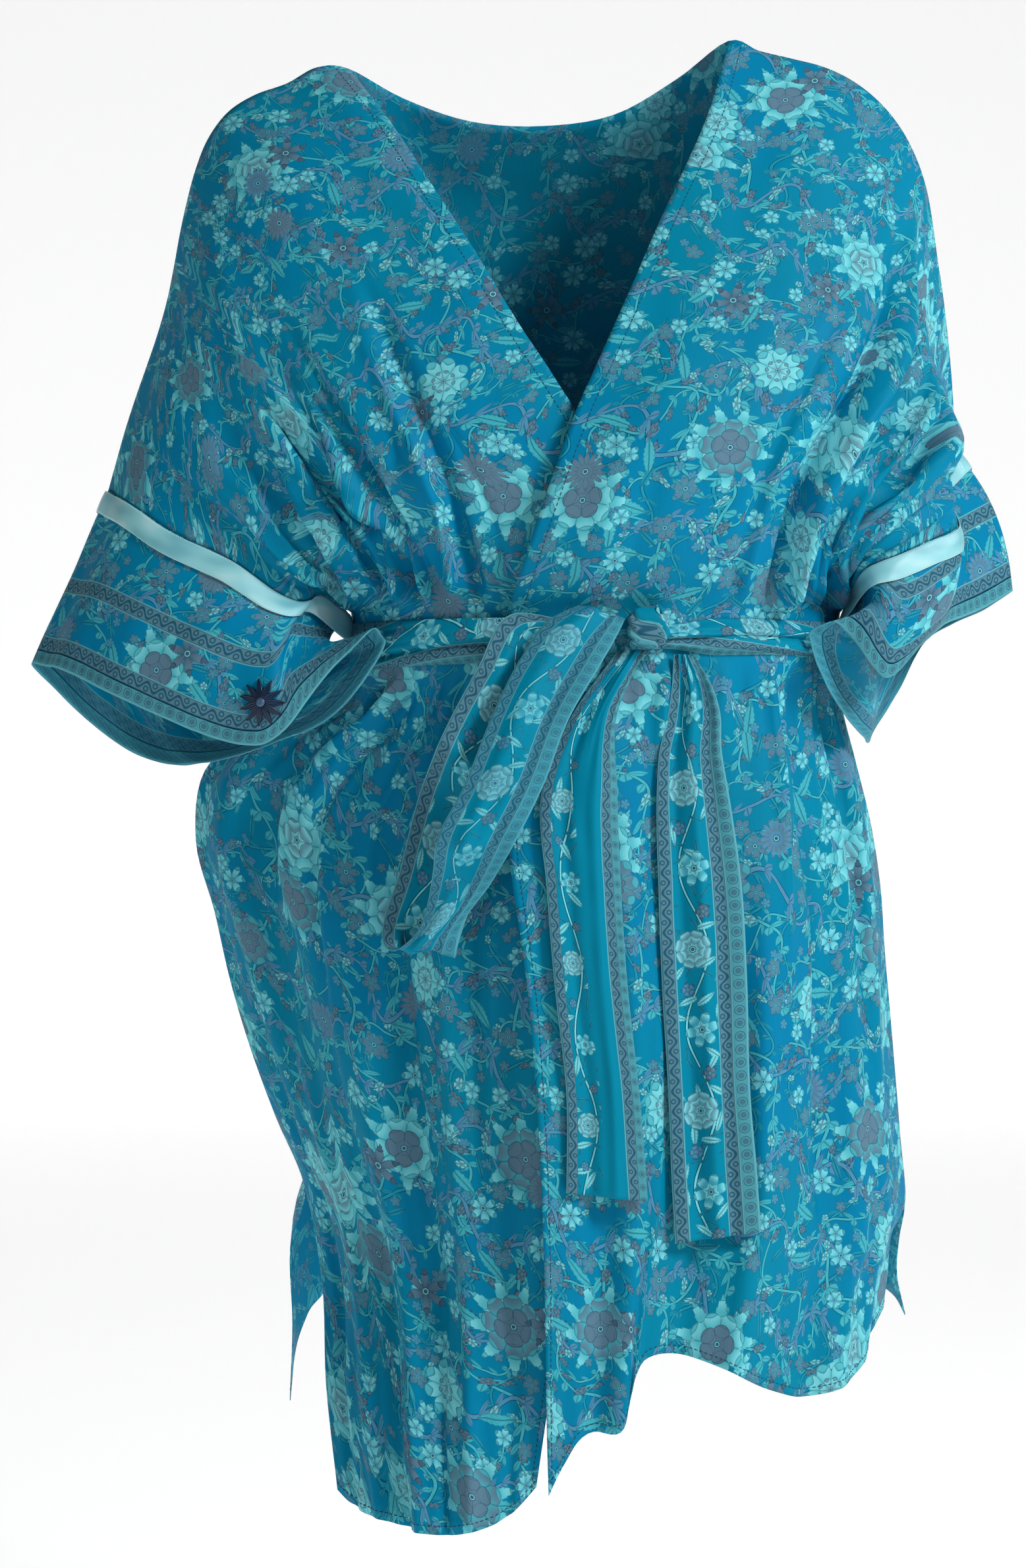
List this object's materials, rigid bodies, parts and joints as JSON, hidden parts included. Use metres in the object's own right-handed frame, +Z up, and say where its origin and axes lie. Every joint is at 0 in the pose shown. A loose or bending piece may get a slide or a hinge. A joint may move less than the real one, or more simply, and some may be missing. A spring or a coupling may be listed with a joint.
{
  "type": "kimono jacket",
  "caption": "Short open-front wrap jacket in thin printed silk with wide three-quarter sleeves, ribbon-trimmed border-print cuffs, side slits and a tied sash, filled out with no wearer.",
  "frame": {"origin": "the middle of the wearer's neck at the level where the neckline rests on the shoulders, from which the jacket is held up", "axes": "+Z up, -Y out of the front of the jacket, +X towards the wearer's left"},
  "size_m": [0.637, 0.3084, 0.9363],
  "materials": {
    "printed_silk": "soft sheen, floral print",
    "border_silk": "soft sheen, border print",
    "satin": "satin ribbon",
    "navy_trim": "glossy"
  },
  "bodies": {
    "root": {"front_left": "printed_silk", "front_right": "printed_silk", "back": "printed_silk", "cuff_right": "border_silk", "cuff_left": "border_silk", "ribbon_right": "satin", "ribbon_left": "satin", "sewn_flower": "navy_trim", "sash_tail_inner": "border_silk", "sash_tail_outer": "border_silk", "sash_loop": "border_silk", "sash_band": "border_silk", "sash_knot": "border_silk"}
  },
  "joints": []
}
